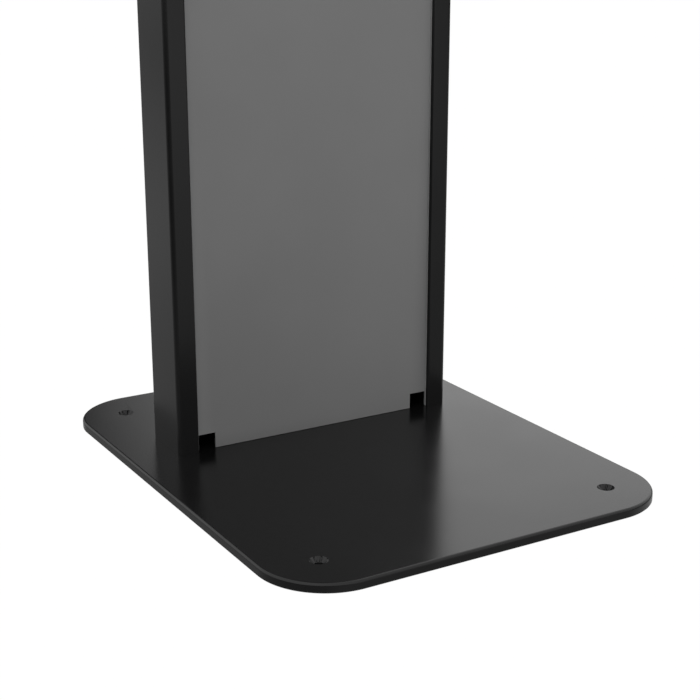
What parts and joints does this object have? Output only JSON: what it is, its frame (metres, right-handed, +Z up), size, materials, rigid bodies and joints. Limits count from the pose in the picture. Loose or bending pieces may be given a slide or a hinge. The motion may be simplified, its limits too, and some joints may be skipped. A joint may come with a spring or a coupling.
{
  "type": "touchscreen kiosk",
  "caption": "Free-standing portrait touchscreen kiosk: slim two-post column on a heavy rounded base plate, with a lockable rear service door.",
  "frame": {"origin": "centre of the base plate's underside, on the floor", "axes": "+Z up, -Y towards the visitor (the screen faces -Y), +Y towards the rear service door, +X to the visitor's right"},
  "size_m": [0.45, 0.575, 1.5],
  "materials": {
    "black_paint": "satin black powder coat on steel",
    "grey_paint": "matt mid-grey paint on steel sheet",
    "zinc_steel": "zinc-plated sheet steel",
    "screw_steel": "blackened steel fasteners",
    "aluminium_case": "plain folded aluminium",
    "chrome_lock": "bright nickel-chrome plating",
    "black_plastic": "moulded black plastic, fine texture",
    "backlight_case": "thin steel pan around an acrylic light guide",
    "cover_glass": "gloss cover glass with a black printed border",
    "screen_cell": "dark anti-glare screen surface, switched off",
    "foam": "black foam gasket",
    "circuit_board": "green solder mask",
    "cable_jacket": "black flexible lead"
  },
  "bodies": {
    "root": {"base_plate": "black_paint", "left_foot_block": "zinc_steel", "right_foot_block": "zinc_steel", "left_front_foot_screw": "screw_steel", "left_back_foot_screw": "screw_steel", "right_front_foot_screw": "screw_steel", "right_back_foot_screw": "screw_steel", "left_post": "black_paint", "right_post": "black_paint", "bottom_rail": "black_paint", "middle_rail": "black_paint", "top_rail": "black_paint", "top_cap": "black_paint", "left_cap_screw": "screw_steel", "right_cap_screw": "screw_steel", "lower_front_panel": "grey_paint", "speaker_grille": "black_paint", "left_speaker": "black_plastic", "right_speaker": "black_plastic", "touch_glass": "cover_glass", "screen_gasket": "foam", "lcd_panel": "screen_cell", "backlight_unit": "backlight_case", "left_display_channel": "zinc_steel", "right_display_channel": "zinc_steel", "display_driver_board": "circuit_board", "touch_controller_board": "circuit_board", "equipment_plate": "zinc_steel", "power_supply": "aluminium_case", "media_player": "black_plastic", "rear_head_cover": "black_paint", "left_lower_cover_screw": "screw_steel", "left_upper_cover_screw": "screw_steel", "right_lower_cover_screw": "screw_steel", "right_upper_cover_screw": "screw_steel", "left_fan_frame": "black_plastic", "right_fan_frame": "black_plastic", "upper_hinge_frame_leaf": "zinc_steel", "upper_hinge_pin": "screw_steel", "lower_hinge_frame_leaf": "zinc_steel", "lower_hinge_pin": "screw_steel", "lock_keeper": "zinc_steel", "rear_connector_panel": "black_paint", "mains_inlet": "black_plastic", "power_switch_housing": "black_plastic", "network_socket": "black_plastic", "mains_cable": "cable_jacket", "network_cable": "cable_jacket", "video_cable": "cable_jacket", "display_power_cable": "cable_jacket"},
    "door": {"rear_door": "black_paint", "upper_hinge_door_leaf": "zinc_steel", "lower_hinge_door_leaf": "zinc_steel", "lock_housing": "chrome_lock", "lock_nut": "zinc_steel"},
    "lock": {"lock_barrel": "chrome_lock", "lock_cam": "zinc_steel"},
    "power_rocker": {"power_switch_rocker": "black_plastic"},
    "left_rotor": {"left_fan_rotor": "black_plastic"},
    "right_rotor": {"right_fan_rotor": "black_plastic"}
  },
  "joints": [
    {"name": "door_hinge", "type": "hinge", "parent": "root", "child": "door", "pos_m": [0.1462, 0.1335, 0.51575], "axis": [0, 0, -1], "range_deg": [0, 95]},
    {"name": "lock_turn", "type": "hinge", "parent": "door", "child": "lock", "pos_m": [-0.131, 0.135, 0.516], "axis": [0, 1, 0], "range_deg": [0, 90]},
    {"name": "power_switch", "type": "hinge", "parent": "root", "child": "power_rocker", "pos_m": [-0.03, 0.1315, 0.048], "axis": [1, 0, 0], "range_deg": [0, 16]},
    {"name": "left_fan_spin", "type": "hinge", "parent": "root", "child": "left_rotor", "pos_m": [-0.07, 0.1267, 1.43], "axis": [0, 1, 0], "continuous": true},
    {"name": "right_fan_spin", "type": "hinge", "parent": "root", "child": "right_rotor", "pos_m": [0.07, 0.1267, 1.43], "axis": [0, 1, 0], "continuous": true}
  ]
}
